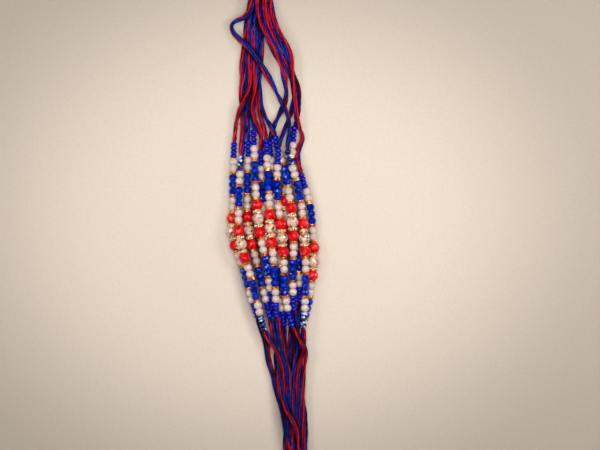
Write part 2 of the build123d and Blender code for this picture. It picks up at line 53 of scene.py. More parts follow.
# the thread of each string, from the top tie to the bottom tie, mm
threadRoutes = {
    # far left string, on the surface all the way
    "01": [
        (-11.8, 139.4, 3.3), (-12.3, 129.9, 3.3), (-13.4, 120.4, 3.3), (-13.4, 110.9, 3.3),
        (-12.8, 101.4, 3.3), (-12.6, 92.4, 3.3), (-13.6, 84.0, 3.3), (-16.0, 77.8, 3.3), (-18.9, 72.8, 3.1),
        (-20.6, 66.6, 2.4), (-21.3, 60.5, 1.9), (-22.0, 54.7, 1.75), (-22.2, 48.7, 1.9), (-22.5, 42.0, 2.3),
        (-22.8, 33.6, 2.4), (-22.7, 24.1, 2.8), (-22.8, 15.1, 3.2), (-23.2, 6.7, 3.2), (-22.2, -0.6, 3.2),
        (-20.2, -6.4, 3.1), (-18.3, -11.8, 2.5), (-16.4, -17.9, 2.2), (-14.5, -24.6, 2.2),
        (-12.8, -30.8, 2.2), (-11.2, -36.1, 2.05), (-9.4, -41.4, 1.75), (-7.4, -47.0, 1.4),
        (-5.3, -53.2, 1.1), (-3.8, -59.9, 1.1), (-2.7, -66.6, 1.1), (-1.2, -73.9, 1.1), (0.8, -81.2, 1.1),
        (3.1, -88.5, 1.1), (5.3, -95.8, 1.1), (6.4, -103.6, 1.1), (6.6, -112.0, 1.1), (6.6, -120.4, 1.1),
    ],
    # second string, climbing over the far left one
    "02": [
        (-12.9, 139.4, 1.1), (-13.6, 129.9, 1.1), (-15.2, 120.4, 1.1), (-16.2, 110.9, 1.1),
        (-16.9, 101.9, 1.1), (-17.8, 92.4, 1.1), (-18.0, 83.4, 1.1), (-17.2, 74.5, 1.1), (-16.7, 66.1, 1.1),
        (-17.1, 58.2, 1.2), (-17.6, 51.5, 1.5), (-17.8, 46.9, 1.8), (-18.3, 41.4, 2.9), (-18.9, 34.7, 4.3),
        (-19.1, 26.9, 5.3), (-19.2, 19.0, 6.7), (-19.4, 11.2, 8.0), (-19.0, 3.4, 8.5), (-17.6, -4.5, 8.4),
        (-15.6, -11.2, 7.2), (-13.4, -17.4, 6.2), (-11.5, -24.6, 6.0), (-9.8, -31.9, 5.9),
        (-8.1, -38.6, 5.4), (-6.6, -44.8, 5.0), (-5.0, -50.4, 4.7), (-2.7, -55.2, 5.1), (0.3, -59.6, 5.5),
        (3.5, -64.4, 5.5), (5.4, -70.0, 5.0), (6.3, -76.2, 4.0), (6.9, -82.9, 3.4), (7.3, -89.6, 3.3),
        (7.9, -96.3, 3.3), (8.7, -103.6, 3.3), (8.9, -112.0, 3.3), (9.0, -120.4, 3.3),
    ],
    # third string, on the surface
    "03": [
        (-10.6, 139.4, 1.1), (-11.1, 129.9, 1.1), (-12.7, 120.4, 1.1), (-13.7, 110.9, 1.1),
        (-14.2, 101.9, 1.1), (-14.8, 93.5, 1.1), (-15.5, 85.7, 1.1), (-15.0, 77.8, 1.1), (-14.3, 70.6, 1.1),
        (-14.1, 63.8, 1.2), (-14.2, 58.0, 1.5), (-14.1, 53.9, 1.8), (-13.9, 47.6, 2.0), (-14.2, 40.9, 2.15),
        (-14.7, 33.0, 2.2), (-14.5, 24.6, 2.6), (-14.5, 16.8, 3.2), (-14.3, 10.1, 3.2), (-13.4, 2.8, 3.2),
        (-11.7, -3.9, 3.2), (-9.9, -10.1, 2.6), (-8.3, -16.8, 2.3), (-6.7, -24.1, 2.5), (-5.1, -30.2, 2.9),
        (-3.6, -35.8, 3.2), (-2.3, -41.2, 3.3), (-1.2, -46.5, 3.3), (0.1, -52.1, 3.3), (1.1, -58.8, 3.3),
        (1.8, -65.5, 3.3), (2.9, -72.8, 3.4), (3.6, -80.6, 4.2), (4.9, -87.9, 5.3), (7.6, -94.6, 5.5),
        (10.6, -100.8, 5.5), (13.2, -107.0, 5.5), (14.3, -113.7, 5.5), (14.3, -120.4, 5.5),
    ],
    # fourth string, over the third and fifth
    "04": [
        (-8.3, 139.4, 1.1), (-8.8, 129.9, 1.1), (-10.2, 120.4, 1.1), (-11.3, 110.9, 1.1),
        (-11.6, 102.5, 1.1), (-12.3, 94.6, 1.1), (-12.9, 86.8, 1.1), (-12.6, 79.5, 1.1), (-11.6, 72.8, 1.15),
        (-10.9, 67.2, 1.6), (-11.0, 62.2, 2.5), (-11.1, 59.1, 3.1), (-10.9, 53.8, 3.9), (-10.6, 48.2, 4.5),
        (-10.3, 41.4, 4.9), (-10.1, 33.6, 5.4), (-9.8, 26.3, 6.5), (-9.2, 19.6, 7.6), (-8.6, 12.3, 8.3),
        (-7.8, 5.0, 8.7), (-6.3, -2.2, 8.5), (-4.5, -9.5, 7.6), (-3.2, -16.8, 6.3), (-2.3, -23.5, 5.7),
        (-1.5, -29.7, 4.9), (-0.2, -34.7, 3.8), (1.0, -40.3, 2.5), (1.8, -46.5, 1.4), (2.0, -53.2, 1.1),
        (1.6, -59.9, 1.1), (1.1, -66.6, 1.1), (1.8, -73.9, 1.1), (3.6, -81.2, 1.1), (5.7, -88.5, 1.1),
        (7.6, -95.8, 1.1), (8.6, -103.6, 1.1), (8.7, -112.0, 1.1), (8.7, -120.4, 1.1),
    ],
    # fifth string, on the surface under its neighbours
    "05": [
        (-8.7, 139.4, 3.3), (-9.2, 129.9, 3.3), (-10.5, 120.4, 3.3), (-10.7, 111.4, 3.3),
        (-10.0, 102.5, 3.3), (-9.7, 94.1, 3.3), (-10.0, 86.2, 3.3), (-11.1, 79.0, 3.3), (-11.7, 71.7, 3.6),
        (-10.2, 65.8, 4.1), (-7.6, 61.0, 3.5), (-6.5, 56.0, 2.4), (-7.1, 50.1, 1.75), (-7.0, 43.7, 1.9),
        (-6.7, 37.0, 2.1), (-6.2, 30.2, 2.15), (-5.9, 23.5, 2.4), (-5.5, 16.2, 2.9), (-4.9, 9.0, 3.2),
        (-4.0, 1.7, 3.2), (-3.0, -5.0, 3.2), (-1.8, -11.2, 3.1), (-1.0, -16.8, 2.4), (0.2, -23.2, 2.2),
        (2.1, -29.7, 2.2), (3.9, -35.3, 2.2), (5.2, -40.3, 2.05), (5.7, -45.4, 1.75), (5.9, -51.0, 1.6),
        (5.9, -57.1, 1.2), (5.7, -63.8, 1.1), (5.4, -71.1, 1.1), (6.3, -79.0, 1.1), (7.8, -86.8, 1.1),
        (9.7, -94.6, 1.1), (10.8, -103.0, 1.1), (10.9, -112.0, 1.1), (10.9, -120.4, 1.1),
    ],
    # sixth string, at the top of the heap
    "06": [
        (-6.0, 139.4, 1.1), (-6.5, 129.9, 1.1), (-7.9, 120.4, 1.1), (-8.8, 111.4, 1.1), (-9.1, 103.0, 1.1),
        (-9.7, 95.2, 1.1), (-10.4, 87.4, 1.1), (-10.0, 80.1, 1.1), (-8.7, 73.4, 1.4), (-6.7, 67.2, 2.4),
        (-4.8, 61.6, 3.8), (-3.9, 55.7, 4.8), (-3.5, 49.8, 5.3), (-3.5, 43.1, 5.7), (-3.1, 35.8, 6.0),
        (-2.5, 28.0, 6.9), (-2.2, 20.7, 8.2), (-2.2, 13.4, 9.1), (-1.8, 6.2, 9.2), (-0.8, -1.7, 9.1),
        (0.0, -9.5, 8.8), (0.4, -16.8, 8.6), (0.9, -24.1, 8.5), (1.4, -31.4, 8.1), (1.4, -38.1, 6.8),
        (1.9, -43.7, 5.6), (2.9, -48.7, 4.6), (3.9, -54.3, 3.8), (5.0, -60.5, 3.4), (7.0, -67.2, 3.4),
        (8.7, -73.9, 3.3), (9.4, -81.2, 3.3), (9.7, -88.5, 3.3), (10.2, -95.8, 3.3), (10.9, -103.6, 3.3),
        (11.1, -112.0, 3.3), (11.1, -120.4, 3.3),
    ],
    # seventh string, hidden on the surface
    "07": [
        (-9.1, 139.4, 5.4), (-9.2, 130.9, 5.4), (-7.3, 121.5, 5.4), (-3.9, 113.7, 5.4), (-0.3, 106.4, 4.8),
        (3.1, 99.7, 3.0), (5.9, 92.4, 1.3), (7.4, 85.1, 1.1), (6.8, 78.4, 1.1), (4.5, 72.2, 1.1),
        (1.6, 66.6, 1.1), (-0.8, 61.0, 1.1), (-2.2, 55.7, 1.75), (-2.0, 49.8, 2.0), (-1.1, 43.1, 2.15),
        (-0.3, 35.8, 2.2), (-0.2, 28.0, 2.4), (-0.2, 20.2, 3.1), (0.4, 12.9, 3.2), (1.7, 5.6, 3.2),
        (3.0, -1.7, 3.15), (3.4, -9.0, 2.6), (3.6, -16.8, 2.3), (4.9, -24.1, 2.2), (7.0, -30.2, 2.15),
        (8.6, -35.8, 1.9), (9.1, -41.4, 1.7), (9.4, -47.0, 1.5), (9.4, -53.8, 1.1), (9.0, -61.0, 1.1),
        (8.8, -68.3, 1.1), (9.2, -76.2, 1.1), (10.4, -84.0, 1.1), (11.7, -91.8, 1.1), (12.9, -100.2, 1.1),
        (13.2, -110.3, 1.1), (13.2, -120.4, 1.1),
    ],
    # eighth string, at the top of the heap
    "08": [
        (-6.4, 139.4, 3.4), (-6.4, 130.8, 3.6), (-4.5, 121.5, 4.6), (-1.2, 114.2, 5.2), (2.3, 107.5, 4.6),
        (5.5, 100.8, 2.8), (8.5, 94.1, 1.3), (10.9, 86.8, 1.1), (11.8, 80.1, 1.1), (10.4, 73.4, 1.1),
        (8.1, 67.2, 1.2), (6.2, 61.0, 2.4), (4.2, 56.0, 4.2), (2.7, 51.2, 5.5), (2.6, 45.4, 6.0),
        (2.2, 38.6, 6.2), (2.0, 31.4, 6.3), (2.2, 24.1, 7.0), (3.0, 16.8, 8.2), (4.1, 10.1, 9.2),
        (4.8, 2.2, 9.3), (5.5, -5.6, 9.0), (6.0, -13.4, 7.8), (6.0, -21.3, 6.6), (6.3, -28.6, 6.3),
        (7.3, -35.3, 6.1), (8.7, -41.4, 6.3), (10.5, -47.6, 6.2), (12.8, -52.6, 6.7), (15.4, -57.1, 6.7),
        (18.2, -61.6, 5.6), (18.0, -67.8, 3.5), (16.5, -74.5, 3.3), (16.2, -81.8, 3.3), (16.6, -89.0, 3.3),
        (17.1, -95.8, 3.3), (17.5, -103.6, 3.3), (17.6, -112.0, 3.3), (17.6, -120.4, 3.3),
    ],
    # ninth string, dips under the eighth one's seeds and then climbs
    "09": [
        (-3.7, 139.4, 1.1), (-4.2, 129.9, 1.1), (-5.6, 120.4, 1.1), (-6.4, 111.4, 1.1), (-6.7, 103.6, 1.1),
        (-7.2, 95.8, 1.1), (-7.9, 87.9, 1.1), (-7.7, 80.1, 1.1), (-6.3, 73.4, 1.3), (-3.9, 67.5, 2.4),
        (-1.0, 62.7, 3.6), (1.2, 57.7, 2.9), (1.7, 52.9, 2.2), (3.2, 47.6, 2.1), (5.8, 42.0, 3.3),
        (7.0, 35.8, 6.2), (8.0, 29.7, 6.9), (9.2, 23.5, 7.6), (10.1, 16.8, 8.6), (10.7, 10.1, 9.2),
        (11.2, 2.8, 9.2), (11.3, -4.5, 8.4), (10.9, -11.8, 7.2), (10.6, -19.0, 6.2), (10.9, -26.3, 5.2),
        (11.0, -33.0, 4.7), (11.5, -39.8, 4.2), (12.0, -45.9, 2.9), (11.7, -52.1, 2.0), (11.6, -58.8, 1.4),
        (11.7, -66.1, 1.1), (11.6, -73.4, 1.1), (12.0, -81.2, 1.1), (13.4, -88.5, 1.1), (14.6, -95.8, 1.1),
        (15.4, -103.6, 1.1), (15.5, -112.0, 1.1), (15.5, -120.4, 1.1),
    ],
    # tenth string, on the surface, crossing under the ninth
    "10": [
        (-4.0, 139.4, 3.3), (-3.9, 131.1, 3.4), (-2.0, 122.1, 4.0), (1.2, 115.4, 4.4), (4.5, 108.6, 4.0),
        (7.6, 101.9, 2.4), (10.5, 95.2, 1.3), (13.1, 87.9, 1.1), (14.4, 81.2, 1.1), (14.6, 74.5, 1.1),
        (13.2, 68.3, 1.4), (11.6, 63.3, 1.8), (11.1, 57.7, 1.9), (10.6, 51.0, 2.15), (10.3, 44.2, 2.15),
        (9.5, 37.5, 2.15), (7.4, 30.8, 2.5), (6.0, 23.5, 3.1), (6.4, 16.2, 3.2), (8.1, 9.0, 3.2),
        (9.9, 2.5, 3.0), (11.9, -3.4, 2.4), (13.8, -10.6, 2.2), (14.6, -17.9, 2.2), (14.6, -25.8, 2.1),
        (14.8, -32.5, 1.8), (14.6, -38.1, 2.6), (14.1, -43.7, 3.8), (13.6, -49.3, 4.4), (13.3, -55.4, 4.4),
        (12.9, -61.6, 3.7), (12.0, -67.8, 3.3), (11.3, -74.5, 3.3), (11.7, -81.8, 3.3), (12.0, -89.0, 3.3),
        (12.5, -95.8, 3.3), (13.2, -103.6, 3.3), (13.3, -112.0, 3.3), (13.3, -120.4, 3.3),
    ],
    # eleventh string, whose slack tail makes the loop at the top left
    "11": [
        (-11.7, 139.4, 5.4), (-11.7, 133.6, 5.4), (-12.6, 127.7, 5.4), (-16.0, 124.0, 5.2),
        (-20.2, 122.8, 3.8), (-23.6, 120.8, 2.4), (-23.1, 116.8, 2.2), (-19.7, 112.8, 3.6),
        (-15.4, 108.4, 5.5), (-10.6, 103.3, 5.7), (-6.4, 97.2, 4.6), (-2.7, 90.7, 2.8), (0.6, 84.6, 2.2),
        (3.6, 79.0, 3.3), (6.4, 73.6, 3.5), (8.5, 68.0, 3.5), (9.1, 62.2, 4.0), (8.3, 56.6, 4.8),
        (7.6, 50.7, 5.5), (9.0, 45.4, 6.3), (10.9, 39.2, 6.4), (12.9, 33.0, 5.5), (14.4, 26.3, 4.9),
        (15.6, 19.6, 5.4), (16.3, 12.3, 6.0), (17.0, 4.5, 6.4), (17.6, -3.4, 7.25), (18.1, -11.2, 7.0),
        (17.9, -19.0, 6.7), (17.9, -26.9, 6.3), (17.6, -34.2, 6.0), (17.5, -40.3, 6.0), (16.9, -45.9, 6.0),
        (16.6, -51.0, 5.4), (16.9, -56.6, 4.2), (16.4, -62.7, 3.8), (14.8, -68.9, 3.3), (13.8, -75.6, 3.3),
        (13.9, -82.9, 3.3), (14.3, -89.6, 3.3), (14.8, -96.3, 3.3), (15.4, -103.6, 3.3), (15.5, -112.0, 3.3),
        (15.5, -120.4, 3.3),
    ],
    # far right string, on the surface
    "12": [
        (-1.6, 139.4, 2.6), (-1.5, 131.2, 2.8), (0.5, 122.6, 3.6), (3.6, 115.9, 4.2), (7.1, 109.2, 4.3),
        (9.6, 102.5, 4.2), (10.7, 95.2, 3.5), (11.3, 87.9, 3.3), (12.0, 81.2, 3.3), (12.6, 74.5, 3.5),
        (12.9, 67.8, 3.7), (14.7, 62.2, 2.7), (16.4, 57.1, 1.3), (14.5, 52.4, 1.1), (13.4, 47.0, 1.1),
        (14.3, 41.4, 1.4), (15.7, 36.2, 1.75), (17.3, 30.8, 2.0), (19.2, 24.6, 2.15), (20.9, 17.9, 2.15),
        (21.7, 10.6, 2.3), (22.1, 3.4, 2.6), (22.6, -3.9, 3.2), (22.7, -11.2, 3.2), (22.0, -17.9, 3.2),
        (21.2, -23.5, 2.9), (20.8, -29.1, 2.3), (19.9, -34.7, 2.2), (18.5, -40.0, 2.2), (17.1, -45.4, 2.1),
        (15.8, -50.7, 2.1), (15.0, -56.0, 1.85), (14.5, -62.2, 1.65), (14.7, -68.9, 1.1), (14.4, -75.6, 1.1),
        (14.8, -82.9, 1.1), (15.6, -89.6, 1.1), (17.0, -96.3, 1.1), (17.7, -103.6, 1.1), (17.6, -112.0, 1.1),
        (17.6, -120.4, 1.1),
    ],
}

skyward = Vector((0, 0, 1))


# helpers for objects and meshes

def clamp(value, low, high):
    return min(max(value, low), high)


def addObject(name, data):
    thing = bpy.data.objects.new(name, data)
    bpy.context.scene.collection.objects.link(thing)
    return thing


def pickOnly(thing):
    bpy.ops.object.select_all(action="DESELECT")
    thing.select_set(True)
    bpy.context.view_layer.objects.active = thing


def settle(name):
    # place, turn and size of the part just made go into its mesh
    bpy.ops.object.transform_apply(location=True, rotation=True, scale=True)
    part = bpy.context.active_object
    part.name = name
    part.data.name = name
    return part


def joinAs(name, parts):
    piece = parts[0]
    pickOnly(piece)
    for part in parts[1:]:
        part.select_set(True)
    if len(parts) > 1:
        bpy.ops.object.join()
    piece.name = name
    piece.data.name = name
    return piece


def markOnly(thing, kind, test):
    # leaves edit mode on, with only the faces or the corners that pass the test selected
    bpy.ops.object.mode_set(mode="EDIT")
    bpy.ops.mesh.select_mode(type=kind)
    bpy.ops.mesh.select_all(action="DESELECT")
    bpy.ops.object.mode_set(mode="OBJECT")
    for item in thing.data.polygons if kind == "FACE" else thing.data.vertices:
        item.select = test(item)
    bpy.ops.object.mode_set(mode="EDIT")


def faceOutward():
    # starts in edit mode and leaves it
    bpy.ops.mesh.select_all(action="SELECT")
    bpy.ops.mesh.normals_make_consistent(inside=False)
    bpy.ops.object.mode_set(mode="OBJECT")


def standFor(piece, node):
    # the piece takes the place of a CAD node
    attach(piece, "root")
    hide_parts(node)


# helpers for materials

def startMaterial(name):
    material = bpy.data.materials.new(name)
    material.use_nodes = True
    return material, material.node_tree, material.node_tree.nodes["Principled BSDF"]


def setInputs(node, values):
    for name, value in values.items():
        node.inputs[name].default_value = value


def addPlace(tree):
    return tree.nodes.new("ShaderNodeTexCoord").outputs["Object"]


def addAttribute(tree, name):
    attribute = tree.nodes.new("ShaderNodeAttribute")
    attribute.attribute_name = name
    return attribute.outputs["Fac"]


def addNoise(tree, place, scale, detail=2, roughness=0.5):
    noise = tree.nodes.new("ShaderNodeTexNoise")
    setInputs(noise, {"Scale": scale, "Detail": detail, "Roughness": roughness})
    tree.links.new(place, noise.inputs["Vector"])
    return noise


def addRamp(tree, value, stops, kind="LINEAR"):
    # a stop is a value from 0 to 1 and its colour
    ramp = tree.nodes.new("ShaderNodeValToRGB")
    ramp.color_ramp.interpolation = kind
    while len(ramp.color_ramp.elements) < len(stops):
        ramp.color_ramp.elements.new(0.5)
    for element, (position, colour) in zip(ramp.color_ramp.elements, stops):
        element.position = position
        element.color = (*colour, 1)
    tree.links.new(value, ramp.inputs["Fac"])
    return ramp.outputs["Color"]


def mixColours(tree, kind, strength, below, above):
    mix = tree.nodes.new("ShaderNodeMix")
    mix.data_type = "RGBA"
    mix.blend_type = kind
    mix.inputs["Factor"].default_value = strength
    tree.links.new(below, mix.inputs["A"])
    tree.links.new(above, mix.inputs["B"])
    return mix.outputs["Result"]


def roughen(tree, shader, height, strength, depth):
    bump = tree.nodes.new("ShaderNodeBump")
    setInputs(bump, {"Strength": strength, "Distance": depth})
    tree.links.new(height, bump.inputs["Height"])
    tree.links.new(bump.outputs["Normal"], shader.inputs["Normal"])


# glass, metal and yarn

# milk is how much light goes round inside a glass, and clear how much goes through
glassBody = {"cloudDetail": 3, "coatRoughness": 0.03, "milkSpread": (1, 0.85, 0.8), "milkDepth": 0.001}
plainGlass = {
    "cellScale": 700, "cellShare": 0.25, "cloudScale": 300, "cloudShare": 0.15,
    "roughness": 0.12, "ior": 1.5, "clear": 0, "milk": 0, "coat": 0.05, "shine": 0.3,
}
metalBody = {"metal": 0.4, "grainScale": 900, "grainDetail": 4, "bump": 0.15, "bumpDepth": 0.0001}
# patches are random darker and lighter stretches of yarn, painted shade and light, and grooves the painted
# shade between the plies
yarnBody = {
    "fibreDetail": 5, "fibreRoughness": 0.65, "bump": 0.7, "bumpDepth": 0.00012, "shine": 0.08,
    "patchScale": 60, "patchShare": 0.6,
    "patches": [(0.35, (0.2, 0.2, 0.2)), (0.65, (0.75, 0.75, 0.75))],
    "grooves": [(0.1, (0.1, 0.1, 0.1)), (0.75, (1, 1, 1))],
}


def cutGlass(name, look):
    # painted light: each facet gets a random shade that stands in for the light cut glass bends and throws
    # back, and small cells add painted sparkle inside the facets
    material, tree, shader = startMaterial(name)
    place = addPlace(tree)
    cells = tree.nodes.new("ShaderNodeTexVoronoi")
    cells.inputs["Scale"].default_value = look["cellScale"]
    tree.links.new(place, cells.inputs["Vector"])
    cellShade = tree.nodes.new("ShaderNodeSeparateColor")
    tree.links.new(cells.outputs["Color"], cellShade.inputs["Color"])
    blend = tree.nodes.new("ShaderNodeMix")
    blend.inputs["Factor"].default_value = look["cellShare"]
    tree.links.new(addAttribute(tree, "facetShade"), blend.inputs["A"])
    tree.links.new(cellShade.outputs["Red"], blend.inputs["B"])
    shades = addRamp(tree, blend.outputs["Result"], look["shades"])
    clouds = addNoise(tree, place, look["cloudScale"], glassBody["cloudDetail"]).outputs["Color"]
    colour = mixColours(tree, "OVERLAY", look["cloudShare"], shades, clouds)
    tree.links.new(colour, shader.inputs["Base Color"])
    setInputs(shader, {
        "Roughness": look["roughness"], "IOR": look["ior"], "Specular IOR Level": look["shine"],
        "Transmission Weight": look["clear"], "Coat Weight": look["coat"],
        "Coat Roughness": glassBody["coatRoughness"], "Subsurface Weight": look["milk"],
        "Subsurface Radius": glassBody["milkSpread"], "Subsurface Scale": glassBody["milkDepth"],
    })
    return material


def platedMetal(name, look):
    material, tree, shader = startMaterial(name)
    grain = addNoise(tree, addPlace(tree), metalBody["grainScale"], metalBody["grainDetail"]).outputs["Fac"]
    tree.links.new(addRamp(tree, grain, look["shades"]), shader.inputs["Base Color"])
    roughen(tree, shader, grain, metalBody["bump"], metalBody["bumpDepth"])
    setInputs(shader, {"Metallic": metalBody["metal"], "Roughness": look["roughness"]})
    return material


def spunYarn(name, look):
    # fibres run along the yarn with a slight twist: U goes along it and V round it
    material, tree, shader = startMaterial(name)
    yarnMap = tree.nodes.new("ShaderNodeUVMap")
    yarnMap.uv_map = "yarnMap"
    stretch = tree.nodes.new("ShaderNodeMapping")
    stretch.inputs["Scale"].default_value = (look["streakLength"], look["streaks"], 1)
    tree.links.new(yarnMap.outputs["UV"], stretch.inputs["Vector"])
    fibres = addNoise(tree, stretch.outputs["Vector"], 1, yarnBody["fibreDetail"],
                      yarnBody["fibreRoughness"]).outputs["Fac"]
    patches = addNoise(tree, addPlace(tree), yarnBody["patchScale"]).outputs["Fac"]
    colour = mixColours(tree, "SOFT_LIGHT", yarnBody["patchShare"], addRamp(tree, fibres, look["shades"]),
                        addRamp(tree, patches, yarnBody["patches"]))
    grooves = addRamp(tree, addAttribute(tree, "paintedYarnShade"), yarnBody["grooves"])
    tree.links.new(mixColours(tree, "MULTIPLY", 1, colour, grooves), shader.inputs["Base Color"])
    roughen(tree, shader, fibres, yarnBody["bump"], yarnBody["bumpDepth"])
    setInputs(shader, {"Roughness": look["roughness"], "Specular IOR Level": yarnBody["shine"]})
    return material


# the lightest stops of the blue, red, crystal, dark seed and stone shades are painted glints
whiteLook = {
    **plainGlass, "cellShare": 0.2, "cloudShare": 0.08, "roughness": 0.25, "milk": 0.6,
    "coat": 0.1, "shine": 0.4,
    "shades": [(0, (0.64, 0.48, 0.42)), (0.4, (0.69, 0.53, 0.47)), (0.8, (0.75, 0.60, 0.54)),
               (1, (0.85, 0.73, 0.67))],
}
blueLook = {
    **plainGlass, "cellScale": 800, "roughness": 0.1, "coat": 0.03, "shine": 0.16,
    "shades": [(0, (0.0004, 0.003, 0.08)), (0.35, (0.0004, 0.009, 0.24)), (0.8, (0.0006, 0.028, 0.55)),
               (0.94, (0.005, 0.10, 0.78)), (1, (0.45, 0.70, 1))],
}
redLook = {
    **plainGlass, "cloudScale": 250, "cloudShare": 0.12,
    "shades": [(0, (0.38, 0.001, 0.002)), (0.3, (0.64, 0.002, 0.006)), (0.75, (0.88, 0.006, 0.014)),
               (0.93, (0.92, 0.06, 0.05)), (1, (1, 0.45, 0.40))],
}
# painted reflections: the warm shades of the clear crystal stand in for the red beads and gold seen in it and
# through it
crystalLook = {
    **plainGlass, "cellScale": 620, "cellShare": 0.2, "cloudScale": 250, "cloudShare": 0.04,
    "roughness": 0.02, "clear": 0.2, "coat": 0.3, "shine": 0.8,
    "shades": [(0, (0.07, 0.02, 0.01)), (0.14, (0.36, 0.14, 0.08)), (0.28, (0.70, 0.33, 0.27)),
               (0.5, (0.98, 0.55, 0.44)), (0.62, (1, 0.60, 0.30)), (0.72, (1, 0.76, 0.58)),
               (0.84, (1, 0.98, 0.94))],
}
seedLook = {
    **plainGlass, "cellScale": 900, "cellShare": 0.1, "cloudScale": 400, "coat": 0.1,
    "shades": [(0, (0.002, 0.003, 0.16)), (0.6, (0.003, 0.006, 0.44)), (1, (0.006, 0.02, 0.78))],
}
# the lightest cells are painted glints on the dark seeds
darkSeedLook = {
    **plainGlass, "cellScale": 680, "cellShare": 0.85, "cloudScale": 400, "cloudShare": 0.1,
    "roughness": 0.08, "ior": 1.6,
    "shades": [(0, (0.001, 0.002, 0.03)), (0.5, (0.003, 0.008, 0.12)), (0.69, (0.02, 0.05, 0.40)),
               (0.77, (0.66, 0.74, 1))],
}
stoneLook = {
    **plainGlass, "cellScale": 2200, "cellShare": 0.4, "cloudScale": 500, "cloudShare": 0.05,
    "roughness": 0.03, "ior": 1.7, "coat": 0.8, "shine": 1.0,
    "shades": [(0, (0.16, 0.05, 0.01)), (0.3, (0.80, 0.40, 0.17)), (0.6, (1, 0.78, 0.52)),
               (0.8, (1, 1, 0.92))],
}
goldLook = {
    "shades": [(0.4, (0.26, 0.015, 0.002)), (0.5, (0.80, 0.17, 0.015)), (0.6, (1, 0.66, 0.20))],
    "roughness": 0.22,
}
# painted shade: the dark gold of a spacer's middle stands in for the shade in the groove between its two
# plates
paintedGrooveShadeLook = {"shades": [(0.35, (0.30, 0.02, 0.003)), (0.65, (0.70, 0.09, 0.01))], "roughness": 0.3}
paleGoldLook = {
    "shades": [(0.4, (0.28, 0.08, 0.01)), (0.5, (0.85, 0.40, 0.11)), (0.6, (1, 0.80, 0.44))],
    "roughness": 0.25,
}
# the dark end of each yarn's streaks is partly the fibres' own colour and partly painted shade between them
plainYarn = {"streaks": 14, "streakLength": 0.9, "roughness": 0.6}
redYarnLook = {
    **plainYarn,
    "shades": [(0.38, (0.10, 0.0004, 0.003)), (0.5, (0.54, 0.002, 0.016)), (0.61, (1, 0.010, 0.050))],
}
blueYarnLook = {
    **plainYarn,
    "shades": [(0.38, (0.002, 0.001, 0.03)), (0.5, (0.006, 0.010, 0.20)), (0.61, (0.012, 0.065, 0.66))],
}
cordLook = {
    "shades": [(0.25, (0.55, 0.50, 0.46)), (0.75, (0.86, 0.82, 0.78))],
    "streaks": 8, "streakLength": 3, "roughness": 0.7,
}

finishes = {
    "white": cutGlass("white cut glass", whiteLook),
    "blue": cutGlass("blue cut glass", blueLook),
    "red": cutGlass("red cut glass", redLook),
    "crystal": cutGlass("clear crystal", crystalLook),
    "seed": cutGlass("dark blue seed glass", seedLook),
    "darkSeed": cutGlass("dark seed glass with painted glints", darkSeedLook),
    "stone": cutGlass("rhinestone", stoneLook),
    "gold": platedMetal("orange gold plate", goldLook),
    "paintedGrooveShade": platedMetal("gold plate with painted groove shade", paintedGrooveShadeLook),
    "paleGold": platedMetal("pale gold plate", paleGoldLook),
    "redYarn": spunYarn("red yarn", redYarnLook),
    "blueYarn": spunYarn("blue yarn", blueYarnLook),
    "cord": spunYarn("bead cord", cordLook),
}
print("materials made")


# bead patterns, each made once in metres with its bore along Z

# rings of corners from one end of a cut bead to the other: share of the length, share of the radius,
# turn in sides
smallRings = [(-0.5, 0.56, 0), (-0.33, 0.85, 0.5), (-0.1, 1.0, 0), (0.1, 1.0, 0.5), (0.33, 0.85, 0),
              (0.5, 0.56, 0.5)]
largeRings = [(-0.5, 0.5, 0), (-0.38, 0.76, 0.5), (-0.16, 0.98, 0), (0, 1.0, 0.5), (0.16, 0.98, 0),
              (0.38, 0.76, 0.5), (0.5, 0.5, 0)]
crystalRings = [(-0.5, 0.5, 0), (-0.4, 0.72, 0.5), (-0.24, 0.93, 0), (-0.06, 1.0, 0.5), (0.06, 1.0, 0),
                (0.24, 0.93, 0.5), (0.4, 0.72, 0), (0.5, 0.5, 0.5)]
smallCut = {"sides": 8, "bore": 0.0011, "rings": smallRings}
whiteSize = {**smallCut, "length": 0.0037, "diameter": 0.00446, "finish": "white"}
blueSize = {**smallCut, "length": 0.00375, "diameter": 0.0044, "finish": "blue"}
redSize = {"length": 0.0056, "diameter": 0.0064, "sides": 10, "bore": 0.0012, "rings": largeRings,
           "finish": "red"}
crystalSize = {"length": 0.0057, "diameter": 0.00655, "sides": 12, "bore": 0.0012, "rings": crystalRings,
               "finish": "crystal"}
seedSize = {"length": 0.0021, "diameter": 0.0037, "wall": 0.00075, "around": 14, "across": 8,
            "finish": "seed"}
# dip is the share of the radius between two scallops, and waist the radius of the middle
spacerSize = {"length": 0.00125, "diameter": 0.00424, "bore": 0.0012, "plate": 0.00042, "scallops": 9,
              "dip": 0.88, "waist": 0.00178, "rim": "gold", "middle": "paintedGrooveShade", "stones": 0}
rondelleSize = {"length": 0.0018, "diameter": 0.00504, "bore": 0.0012, "plate": 0.00036, "scallops": 9,
                "dip": 0.9, "waist": 0.0020, "rim": "paleGold", "middle": "paleGold", "stones": 9}
# tip and depth are shares of a stone's radius, and wall is a share of the spacer's length
stoneSize = {"radius": 0.00062, "tip": 0.45, "depth": 0.9, "sides": 6, "inset": 0.00022, "turn": 0.25}
middleSize = {"wall": 0.45, "around": 16, "across": 6}
# how squarely a face looks along the bore to count as an end, and how flat facets are that become one
endFacing = 0.99
flatAngle = math.radians(0.5)


def isEnd(face):
    return abs(face.normal.z) > endFacing


